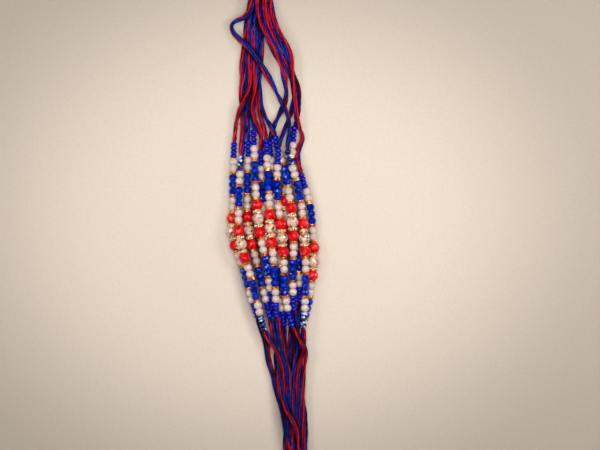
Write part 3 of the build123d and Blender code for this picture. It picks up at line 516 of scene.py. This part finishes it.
def cutBead(size):
    radius = size["diameter"] / 2
    side = 2 * math.pi / size["sides"]
    rings = []
    for along, out, turn in size["rings"]:
        bpy.ops.mesh.primitive_circle_add(
            vertices=size["sides"], radius=radius * out, location=(0, 0, along * size["length"]),
            rotation=(0, 0, turn * side))
        rings.append(bpy.context.active_object)
    joinAs("rings", rings)
    bead = settle("bead")
    bpy.ops.object.mode_set(mode="EDIT")
    bpy.ops.mesh.select_all(action="SELECT")
    bpy.ops.mesh.convex_hull()
    bpy.ops.mesh.select_all(action="SELECT")
    bpy.ops.mesh.dissolve_limited(angle_limit=flatAngle)
    # the bore
    markOnly(bead, "FACE", isEnd)
    endRadius = radius * size["rings"][0][1]
    bpy.ops.mesh.inset(thickness=endRadius * math.cos(side / 2) - size["bore"] / 2)
    bpy.ops.mesh.bridge_edge_loops()
    faceOutward()
    bpy.ops.object.shade_flat()
    bead.data.materials.append(finishes[size["finish"]])
    return bead


def seedBead(size):
    bpy.ops.mesh.primitive_torus_add(
        major_radius=size["diameter"] / 2 - size["wall"], minor_radius=size["wall"],
        major_segments=size["around"], minor_segments=size["across"])
    bpy.context.active_object.scale.z = size["length"] / (2 * size["wall"])
    bead = settle("bead")
    bpy.ops.object.shade_smooth()
    bead.data.materials.append(finishes[size["finish"]])
    return bead


def scallopedPlate(size, shift):
    # a thin ring with a wavy rim
    count = 2 * size["scallops"]
    radius = size["diameter"] / 2
    bpy.ops.mesh.primitive_cylinder_add(
        vertices=count, radius=radius, depth=size["plate"], location=(0, 0, shift))
    plate = settle("plate")
    step = 2 * math.pi / count
    markOnly(plate, "VERT", lambda corner: round(math.atan2(corner.co.y, corner.co.x) / step) % 2 == 1)
    bpy.ops.transform.resize(value=(size["dip"], size["dip"], 1), center_override=(0, 0, 0))
    markOnly(plate, "FACE", isEnd)
    bpy.ops.mesh.inset(thickness=radius - size["bore"] / 2)
    bpy.ops.mesh.bridge_edge_loops()
    faceOutward()
    plate.data.materials.append(finishes[size["rim"]])
    return plate


def setStone(size, index):
    # a blunt cone between the rims, its tip outward
    turn = 2 * math.pi * (index + stoneSize["turn"]) / size["stones"]
    out = size["diameter"] / 2 - stoneSize["inset"]
    radius = stoneSize["radius"]
    bpy.ops.mesh.primitive_cone_add(
        vertices=stoneSize["sides"], radius1=radius, radius2=radius * stoneSize["tip"],
        depth=radius * stoneSize["depth"], location=(out * math.cos(turn), out * math.sin(turn), 0),
        rotation=(0, math.pi / 2, turn))
    stone = settle("stone")
    stone.data.materials.append(finishes["stone"])
    return stone


def plateSpacer(size):
    # two plates on a rounded middle, and stones between their rims where there are any
    shift = (size["length"] - size["plate"]) / 2
    parts = [scallopedPlate(size, -shift), scallopedPlate(size, shift)]
    wall = size["length"] * middleSize["wall"]
    bpy.ops.mesh.primitive_torus_add(
        major_radius=size["waist"] - wall, minor_radius=wall,
        major_segments=middleSize["around"], minor_segments=middleSize["across"])
    middle = settle("middle")
    middle.data.materials.append(finishes[size["middle"]])
    parts.append(middle)
    for index in range(size["stones"]):
        parts.append(setStone(size, index))
    spacer = joinAs("spacer", parts)
    bpy.ops.object.shade_flat()
    return spacer


beadSizes = {"w": whiteSize, "b": blueSize, "r": redSize, "c": crystalSize, "s": seedSize,
             "g": spacerSize, "d": rondelleSize}
patterns = {
    "w": cutBead(whiteSize),
    "b": cutBead(blueSize),
    "r": cutBead(redSize),
    "c": cutBead(crystalSize),
    "s": seedBead(seedSize),
    "g": plateSpacer(spacerSize),
    "d": plateSpacer(rondelleSize),
}
print("bead patterns made")


# lines of the threads

lineDetail = {"order": 3, "resolution": 16}
# keeps a length off the very end of a line
tiny = 1e-9


def readLine(spots):
    curve = bpy.data.curves.new("line", "CURVE")
    curve.dimensions = "3D"
    curve.resolution_u = lineDetail["resolution"]
    spline = curve.splines.new("NURBS")
    spline.points.add(len(spots) - 1)
    for point, (x, y, z) in zip(spline.points, spots):
        point.co = ((x - routeMiddle["x"]) / mmPerMetre, (y - routeMiddle["y"]) / mmPerMetre,
                    z / mmPerMetre, 1)
    spline.order_u = lineDetail["order"]
    spline.use_endpoint_u = True
    holder = addObject("line", curve)
    bpy.context.view_layer.update()
    mesh = bpy.data.meshes.new_from_object(holder)
    corners = [vertex.co.copy() for vertex in mesh.vertices]
    bpy.data.objects.remove(holder)
    bpy.data.curves.remove(curve)
    bpy.data.meshes.remove(mesh)
    lengths = [0.0]
    for before, after in zip(corners, corners[1:]):
        lengths.append(lengths[-1] + (after - before).length)
    return {"corners": corners, "lengths": lengths}


def placeOn(line, length):
    # the point and the direction at a length along a line
    corners, lengths = line["corners"], line["lengths"]
    length = clamp(length, 0, lengths[-1] - tiny)
    low = bisect.bisect_right(lengths, length) - 1
    high = low + 1
    share = (length - lengths[low]) / (lengths[high] - lengths[low])
    before = corners[max(low - 1, 0)]
    after = corners[min(high + 1, len(corners) - 1)]
    return corners[low].lerp(corners[high], share), (after - before).normalized()


def nearestLength(line, spot):
    gaps = [(corner - spot).length for corner in line["corners"]]
    return line["lengths"][gaps.index(min(gaps))]


# bead strings

chance = random.Random(41)
# beads in order from the top end: s seed, w white, g gold spacer, b blue, r red,
# d rhinestone spacer, c crystal
beadOrder = "sssswwgbbbgwwgrdcdrgwwgbbbgwwssss"
beadGap = 0.0001
pieceNames = {"w": "white_beads", "b": "blue_beads", "r": "cut_red_beads", "c": "cut_crystal",
              "s": "seed_beads", "g": "gold_spacers", "d": "rhinestone_spacers"}
slots = {"w": "small_beads", "b": "small_beads", "r": "red_beads", "c": "crystal", "s": "small_beads"}
cadNodes = {"w": "small_beads_", "b": "small_beads_", "r": "red_beads_", "c": "crystal_bead_",
            "s": "small_beads_"}
darkSeeds = ["02", "11"]
# how far the beads of a string are slipped towards the bottom, to lie as in the photo
slipped = {"03": -0.001, "04": -0.0026, "06": -0.0006, "07": 0.0006, "09": -0.0006, "11": 0.0006,
           "12": -0.001}


def strewShades(thing):
    # a facet's shade is picked once for each facet
    layer = thing.data.attributes.new("facetShade", "FLOAT", "FACE")
    for value in layer.data:
        value.value = chance.random()


def threadBeads(number, line, middle):
    copies = {kind: [] for kind in beadSizes}
    total = sum(beadSizes[kind]["length"] + beadGap for kind in beadOrder) - beadGap
    length = middle - total / 2
    for kind in beadOrder:
        size = beadSizes[kind]
        spot, direction = placeOn(line, length + size["length"] / 2)
        spot.z = max(spot.z, size["diameter"] / 2)
        turn = Matrix.Rotation(chance.uniform(0, 2 * math.pi), 4, "Z")
        aim = direction.to_track_quat("Z", "Y").to_matrix().to_4x4()
        bead = patterns[kind].data.copy()
        bead.transform(Matrix.Translation(spot) @ aim @ turn)
        copies[kind].append(addObject("copy", bead))
        length += size["length"] + beadGap
    for kind, beads in copies.items():
        piece = joinAs(pieceNames[kind] + "_" + number, beads)
        strewShades(piece)
        if kind == "s" and number in darkSeeds:
            piece.data.materials[0] = finishes["darkSeed"]
        if kind in slots:
            standFor(piece, cadNodes[kind] + number)
        else:
            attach(piece, "root")
    return total


# yarns of the tails

# apart is between the two yarns of a tail, waver their small waves, sway the turning to and fro of the
# pair in degrees, both with rates in radians a metre; within reach of the beads they run closer and thinner
yarnSize = {
    "diameter": 0.00206, "apart": 0.00158, "step": 0.0009, "sides": 18,
    "waver": 0.00014, "waverRates": (250, 420), "sway": 30, "swayRates": (150, 260), "phases": (0, 6.28),
    "plies": 3, "plyDepth": 0.38, "plyTwist": 280, "mapLength": 100, "mapTwist": 60,
    "reach": 0.0025, "closeStart": 0.35, "thinStart": 0.7,
}
# painted shade on the yarns: a thread within reach covers a yarn when it lies free above it, and fully when
# it lies rise higher; full is the cover at which the whole depth of painted shade is reached, and top and
# bottom are the painted light on each bundle; flank is the painted shade on a yarn's sides, where tilt and
# turn say how steep they are
coverSize = {
    "step": 0.001, "reach": 0.0034, "free": 0.0008, "rise": 0.0014, "full": 1.3, "depth": 0.85,
    "top": 0.97, "bottom": 0.60, "flank": 0.64, "tilt": 0.1, "turn": 0.7,
}
coreSize = {"radius": 0.0004, "step": 0.002}


def flattenLines(lines):
    # the middles of all threads seen from above, for finding what lies over a spot
    spots = []
    for line in lines.values():
        count = int(line["lengths"][-1] / coverSize["step"])
        spots.extend(placeOn(line, index * coverSize["step"])[0] for index in range(count))
    tree = KDTree(len(spots))
    for index, spot in enumerate(spots):
        tree.insert((spot.x, spot.y, 0), index)
    tree.balance()
    return tree, spots


def lightAt(spot, cover):
    # painted shade: a yarn beneath others is darkened, as less light reaches it
    tree, spots = cover
    above = 0
    for _, index, distance in tree.find_range((spot.x, spot.y, 0), coverSize["reach"]):
        rise = (spots[index].z - spot.z - coverSize["free"]) / coverSize["rise"]
        above += (1 - distance / coverSize["reach"]) * clamp(rise, 0, 1)
    end = "top" if spot.y > 0 else "bottom"
    return coverSize[end] * (1 - coverSize["depth"] * min(1, above / coverSize["full"]))


def yarnTube(name, spots, radii, finish, lights=None):
    # a tube round the spots, lobed where its plies wind round it
    sides = yarnSize["sides"]
    corners, faces, lengths, shades = [], [], [0.0], []
    for before, after in zip(spots, spots[1:]):
        lengths.append(lengths[-1] + (after - before).length)
    side = None
    for index, spot in enumerate(spots):
        along = (spots[min(index + 1, len(spots) - 1)] - spots[max(index - 1, 0)]).normalized()
        if side is None:
            side = along.cross(skyward).normalized()
        side = (side - along * side.dot(along)).normalized()
        up = side.cross(along)
        for corner in range(sides):
            angle = 2 * math.pi * corner / sides
            outward = side * math.cos(angle) + up * math.sin(angle)
            groove = 0.5 - 0.5 * math.cos(yarnSize["plies"] * angle + yarnSize["plyTwist"] * lengths[index])
            lobe = 1 - yarnSize["plyDepth"] * groove * groove
            corners.append(spot + outward * radii[index] * lobe)
            # painted shade: darker in the grooves between the plies, on the tube's lower sides, and by the
            # lights along it
            facing = clamp((outward.z + coverSize["tilt"]) / coverSize["turn"], 0, 1)
            flank = 1 - coverSize["flank"] * (1 - facing)
            shades.append((1 - groove * groove) * flank * (lights[index] if lights else 1))
    for low in range(0, (len(spots) - 1) * sides, sides):
        high = low + sides
        for corner in range(sides):
            following = (corner + 1) % sides
            faces.append((low + corner, low + following, high + following, high + corner))
    faces.append(tuple(reversed(range(sides))))
    faces.append(tuple((len(spots) - 1) * sides + corner for corner in range(sides)))
    mesh = bpy.data.meshes.new(name)
    mesh.from_pydata(corners, [], faces)
    mesh.attributes.new("paintedYarnShade", "FLOAT", "POINT").data.foreach_set("value", shades)
    layer = mesh.uv_layers.new(name="yarnMap")
    for face in mesh.polygons:
        seam = face.index % sides == sides - 1
        for loop in face.loop_indices:
            ring, around = divmod(mesh.loops[loop].vertex_index, sides)
            if seam and around == 0:
                around = sides
            layer.data[loop].uv = (lengths[ring] * yarnSize["mapLength"],
                                   around / sides + lengths[ring] * yarnSize["mapTwist"])
    mesh.materials.append(finishes[finish])
    tube = addObject(name, mesh)
    pickOnly(tube)
    bpy.ops.object.mode_set(mode="EDIT")
    faceOutward()
    bpy.ops.object.shade_smooth()
    return tube


# how the red yarn lies round the blue one along each tail, from the beads to the tie:
# share of the tail, turn in degrees, where 0 is right, 90 on top, 180 left and 270 beneath
tailTurns = {
    "01top": [(0, 120), (0.35, 80), (0.6, 200), (1, 280)],
    "02top": [(0, 180), (0.3, 150), (0.6, 120), (1, 60)],
    "03top": [(0, 260), (0.5, 280), (0.75, 200), (1, 90)],
    "04top": [(0, 300), (0.4, 240), (0.8, 260), (1, 270)],
    "05top": [(0, 90), (0.25, 80), (0.5, 150), (1, 300)],
    "06top": [(0, 100), (0.25, 80), (0.5, 200), (0.8, 280), (1, 350)],
    "07top": [(0, 250), (0.3, 300), (0.5, 420), (0.7, 450), (1, 470)],
    "08top": [(0, 270), (0.4, 280), (0.7, 330), (1, 400)],
    "09top": [(0, 200), (0.2, 270), (0.5, 280), (0.8, 260), (1, 250)],
    "10top": [(0, 280), (0.5, 270), (0.8, 180), (1, 60)],
    "11top": [(0, 285), (0.35, 270), (0.45, 200), (0.6, 250), (0.75, 270), (0.85, 180), (1, 90)],
    "12top": [(0, 60), (0.1, 120), (0.3, 90), (0.6, 60), (0.8, 90), (1, 100)],
    "01bottom": [(0, 0), (0.3, -30), (0.7, -60), (1, -90)],
    "02bottom": [(0, 190), (0.25, 150), (0.45, 100), (0.6, 280), (0.8, 290), (1, 80)],
    "03bottom": [(0, 200), (0.3, 260), (0.55, 200), (0.75, 90), (1, 60)],
    "04bottom": [(0, 250), (0.5, 280), (1, 180)],
    "05bottom": [(0, 180), (0.4, 250), (0.7, 300), (1, 300)],
    "06bottom": [(0, 0), (0.3, -40), (0.6, -20), (1, 200)],
    "07bottom": [(0, 270), (0.5, 200), (1, 120)],
    "08bottom": [(0, 90), (0.4, 80), (0.6, 90), (1, 180)],
    "09bottom": [(0, 180), (0.3, 240), (0.7, 270), (1, 300)],
    "10bottom": [(0, 270), (0.5, 280), (1, 360)],
    "11bottom": [(0, 60), (0.3, 90), (0.6, 270), (1, 300)],
    "12bottom": [(0, 45), (0.3, 20), (0.7, 40), (1, 60)],
}


def turnAt(keys, share):
    # eased from one key to the next
    for (before, low), (after, high) in zip(keys, keys[1:]):
        if share <= after:
            part = (share - before) / (after - before)
            return low + (high - low) * part * part * (3 - 2 * part)
    return keys[-1][1]


def layTail(number, end, line, start, stop, cover):
    # start is at the beads and stop at the tie, both as lengths along the line
    count = int(abs(stop - start) / yarnSize["step"]) + 1
    spots, red, blue, radii = [], [], [], []
    keys = tailTurns[number + end]
    phases = yarnSize["phases"]
    waves = [(chance.uniform(*phases), chance.uniform(*yarnSize["waverRates"])) for _ in range(4)]
    swayStart, swayRate = chance.uniform(*phases), chance.uniform(*yarnSize["swayRates"])
    for index in range(count + 1):
        share = index / count
        spot, direction = placeOn(line, start + (stop - start) * share)
        right = skyward.cross(direction).normalized()
        over = (skyward - direction * direction.z).normalized()
        along = abs(stop - start) * share
        near = min(1, yarnSize["closeStart"] + along / yarnSize["reach"])
        angle = math.radians(turnAt(keys, share) + yarnSize["sway"] * math.sin(swayStart + swayRate * along))
        offset = (right * math.cos(angle) + over * math.sin(angle)) * yarnSize["apart"] / 2 * near
        loose = [math.sin(phase + rate * along) * yarnSize["waver"] * near for phase, rate in waves]
        spots.append(spot)
        red.append(spot + offset + right * loose[0] + over * loose[1])
        blue.append(spot - offset + right * loose[2] + over * loose[3])
        thin = yarnSize["thinStart"] + (1 - yarnSize["thinStart"]) * near
        radii.append(yarnSize["diameter"] / 2 * thin)
    for strand in (red, blue):
        for index, spot in enumerate(strand):
            spot.z = max(spot.z, radii[index])
    tail = joinAs("tail_" + end + "_" + number,
                  [yarnTube("red", red, radii, "redYarn", [lightAt(spot, cover) for spot in red]),
                   yarnTube("blue", blue, radii, "blueYarn", [lightAt(spot, cover) for spot in blue])])
    standFor(tail, "thread_" + number)


def layCore(number, line, start, stop):
    # the cord inside the beads
    count = int((stop - start) / coreSize["step"]) + 1
    spots = [placeOn(line, start + (stop - start) * index / count)[0] for index in range(count + 1)]
    core = yarnTube("bead_cord_" + number, spots, [coreSize["radius"]] * len(spots), "cord")
    standFor(core, "thread_" + number)


ends = {"top": [], "bottom": []}
lines = {number: readLine(spots) for number, spots in threadRoutes.items()}
cover = flattenLines(lines)
for number, line in lines.items():
    low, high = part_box("crystal_bead_" + number)
    middle = nearestLength(line, (Vector(low) + Vector(high)) / 2) + slipped.get(number, 0)
    total = threadBeads(number, line, middle)
    first, last = middle - total / 2, middle + total / 2
    layTail(number, "top", line, first - beadGap, 0, cover)
    layTail(number, "bottom", line, last + beadGap, line["lengths"][-1], cover)
    layCore(number, line, first, last)
    ends["top"].append(placeOn(line, 0)[0])
    ends["bottom"].append(placeOn(line, line["lengths"][-1])[0])
    print("string", number, "laid")

for pattern in patterns.values():
    bpy.data.objects.remove(pattern)


# wrapped ties with cut ends

# flatX and flatZ below 1 make the coil's round boxier, and swell presses its turns together
tieSize = {"turns": 7, "wire": 0.0011, "length": 0.007, "steps": 56, "flatX": 0.55, "flatZ": 0.75,
           "swell": 1.02}
# draw is how far the cut ends gather in height, and edge keeps them inside the CAD solid
tuftSize = {"length": 0.011, "cut": 0.0012, "beside": 0.0005, "lean": 0.0012, "steps": 12, "draw": 0.15,
            "wave": 0.0002, "waveRate": 5, "waveStart": 2, "flare": 0.12, "edgeX": 0.0006, "edgeZ": 0.0007}


def readTie(end):
    low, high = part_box("knot_" + end)
    return {"low": low, "high": high, "outward": 1 if end == "top" else -1,
            "startY": low[1] if end == "top" else high[1],
            "middleX": (low[0] + high[0]) / 2, "middleZ": (low[2] + high[2]) / 2}


def flatten(value, power):
    return math.copysign(abs(value) ** power, value)


def wrapTie(end, tie):
    # a coil round all the tails
    halfX = tie["high"][0] - tie["middleX"] - tieSize["wire"] / 2
    halfZ = tie["high"][2] - tie["middleZ"] - tieSize["wire"] / 2
    count = tieSize["turns"] * tieSize["steps"]
    rounds = []
    for index in range(count + 1):
        angle = 2 * math.pi * index / tieSize["steps"]
        x = tie["middleX"] + flatten(math.cos(angle), tieSize["flatX"]) * halfX
        z = tie["middleZ"] + flatten(math.sin(angle), tieSize["flatZ"]) * halfZ
        along = tieSize["wire"] / 2 + (tieSize["length"] - tieSize["wire"]) * index / count
        rounds.append(Vector((x, tie["startY"] + tie["outward"] * along, z)))
    radii = [tieSize["wire"] / 2 * tieSize["swell"]] * len(rounds)
    wrap = yarnTube("wrapped_tie_" + end, rounds, radii, "redYarn")
    standFor(wrap, "knot_" + end)


def cutTuft(end, tie, spots):
    # the tails' ends come out behind the wrap, spread a little, and are cut
    low, high = tie["low"], tie["high"]
    strands = []
    for spot in spots:
        for finish, way in (("redYarn", 1), ("blueYarn", -1)):
            reach = tieSize["length"] + tuftSize["length"] - chance.uniform(0, tuftSize["cut"])
            lean = chance.uniform(-tuftSize["lean"], tuftSize["lean"])
            path, radii = [], []
            for index in range(tuftSize["steps"] + 1):
                part = index / tuftSize["steps"]
                wave = math.sin(part * tuftSize["waveRate"] + way * tuftSize["waveStart"])
                x = spot.x + way * tuftSize["beside"] + lean * part * part
                z = spot.z + (tie["middleZ"] - spot.z) * tuftSize["draw"] * part + tuftSize["wave"] * wave
                x = clamp(x, low[0] + tuftSize["edgeX"], high[0] - tuftSize["edgeX"])
                z = clamp(z, tuftSize["edgeZ"], high[2] - tuftSize["edgeZ"])
                path.append(Vector((x, tie["startY"] + tie["outward"] * reach * part, z)))
                radii.append(yarnSize["diameter"] / 2 * (1 + tuftSize["flare"] * part ** 3))
            strands.append(yarnTube("cutEnd", path, radii, finish))
    standFor(joinAs("cut_ends_" + end, strands), "knot_" + end)


for end, spots in ends.items():
    tie = readTie(end)
    wrapTie(end, tie)
    cutTuft(end, tie, spots)
print("ties wrapped")


# the surface, the light and the camera

floorLook = {"size": 3.0, "drop": 0.0002, "grainScale": 700, "grainDetail": 3, "roughness": 0.9, "shine": 0.2,
             "shades": [(0.3, (0.75, 0.64, 0.53)), (0.7, (0.79, 0.68, 0.57))]}
# ovals of painted shadow and light on the paper: half widths in metres, and tones from the middle, 0, to the
# oval's edge, 1
paintedFloorShade = [
    # painted shade: the sheet darkens away from the middle, as the light falls off
    {"centre": (-0.007, 0.006), "reach": (0.205, 0.18), "fade": [(0.35, (1, 1, 1)), (1, (0.66, 0.66, 0.66))]},
    # painted shadow beneath the beads, and painted red light from the red beads there
    {"centre": (0.001, 0.0), "reach": (0.027, 0.067), "fade": [(0.5, (0.23, 0.16, 0.21)), (1, (1, 1, 1))]},
    {"centre": (0.001, 0.003), "reach": (0.025, 0.021), "fade": [(0.6, (1, 0.40, 0.32)), (1, (1, 1, 1))]},
    # painted shadows beneath the top tails and the bottom tails
    {"centre": (-0.007, 0.105), "reach": (0.013, 0.050), "fade": [(0.3, (0.80, 0.76, 0.76)), (1, (1, 1, 1))]},
    {"centre": (0.008, -0.090), "reach": (0.012, 0.045), "fade": [(0.3, (0.60, 0.55, 0.60)), (1, (1, 1, 1))]},
]
# the camera looks straight down, and widthSeen is how much of the floor the picture spans
cameraPlace = {"x": 0.01504, "y": 0.0078, "height": 0.95, "widthSeen": 0.336, "sensor": 36}
worldLight = {"Color": (1, 0.98, 0.97, 1), "Strength": 0.03}
lamps = [
    {"name": "overhead softbox", "place": (0.03, 0.04, 0.42), "size": 0.40, "watts": 1.25,
     "colour": (1, 0.99, 0.99)},
    {"name": "right softbox", "place": (0.30, 0.07, 0.30), "size": 0.14, "watts": 0.64,
     "colour": (1, 0.99, 0.98)},
    {"name": "left fill", "place": (-0.27, 0.05, 0.30), "size": 0.16, "watts": 0.46,
     "colour": (1, 0.99, 0.98)},
    {"name": "glint lamp", "place": (0.05, 0.09, 0.35), "size": 0.025, "watts": 0.12, "colour": (1, 1, 1)},
]


def shadeRound(tree, place, shade):
    # a painted tone that changes with the distance from a spot
    (centreX, centreY), (reachX, reachY) = shade["centre"], shade["reach"]
    squeeze = tree.nodes.new("ShaderNodeMapping")
    setInputs(squeeze, {"Scale": (1 / reachX, 1 / reachY, 0),
                        "Location": (-centreX / reachX, -centreY / reachY, 0)})
    tree.links.new(place, squeeze.inputs["Vector"])
    spread = tree.nodes.new("ShaderNodeVectorMath")
    spread.operation = "LENGTH"
    tree.links.new(squeeze.outputs["Vector"], spread.inputs["Vector"])
    return addRamp(tree, spread.outputs["Value"], shade["fade"], "EASE")


def layFloor(look, shades):
    bpy.ops.mesh.primitive_plane_add(size=look["size"], location=(0, 0, -look["drop"]))
    floor = settle("floor")
    material, tree, shader = startMaterial("pale paper")
    place = addPlace(tree)
    grain = addNoise(tree, place, look["grainScale"], look["grainDetail"]).outputs["Fac"]
    colour = addRamp(tree, grain, look["shades"])
    # the painted shadows and light multiply the paper's colour
    for shade in shades:
        colour = mixColours(tree, "MULTIPLY", 1, colour, shadeRound(tree, place, shade))
    tree.links.new(colour, shader.inputs["Base Color"])
    setInputs(shader, {"Roughness": look["roughness"], "Specular IOR Level": look["shine"]})
    floor.data.materials.append(material)


def hangLamp(lamp):
    place = Vector(lamp["place"])
    bpy.ops.object.light_add(type="AREA", location=place)
    light = bpy.context.active_object
    light.name = lamp["name"]
    light.data.shape = "DISK"
    light.data.size = lamp["size"]
    light.data.energy = lamp["watts"]
    light.data.color = lamp["colour"]
    aim = Vector((cameraPlace["x"], cameraPlace["y"], 0)) - place
    light.rotation_euler = aim.to_track_quat("-Z", "Y").to_euler()


layFloor(floorLook, paintedFloorShade)
for lamp in lamps:
    hangLamp(lamp)

world = bpy.data.worlds.new("studio")
bpy.context.scene.world = world
world.use_nodes = True
setInputs(world.node_tree.nodes["Background"], worldLight)

bpy.ops.object.camera_add(location=(cameraPlace["x"], cameraPlace["y"], cameraPlace["height"]),
                          rotation=(0, 0, 0))
camera = bpy.context.active_object
camera.data.sensor_width = cameraPlace["sensor"]
camera.data.lens = cameraPlace["sensor"] * cameraPlace["height"] / cameraPlace["widthSeen"]
bpy.context.scene.camera = camera
bpy.context.scene.view_settings.view_transform = "Standard"
print("floor, lamps and camera placed")
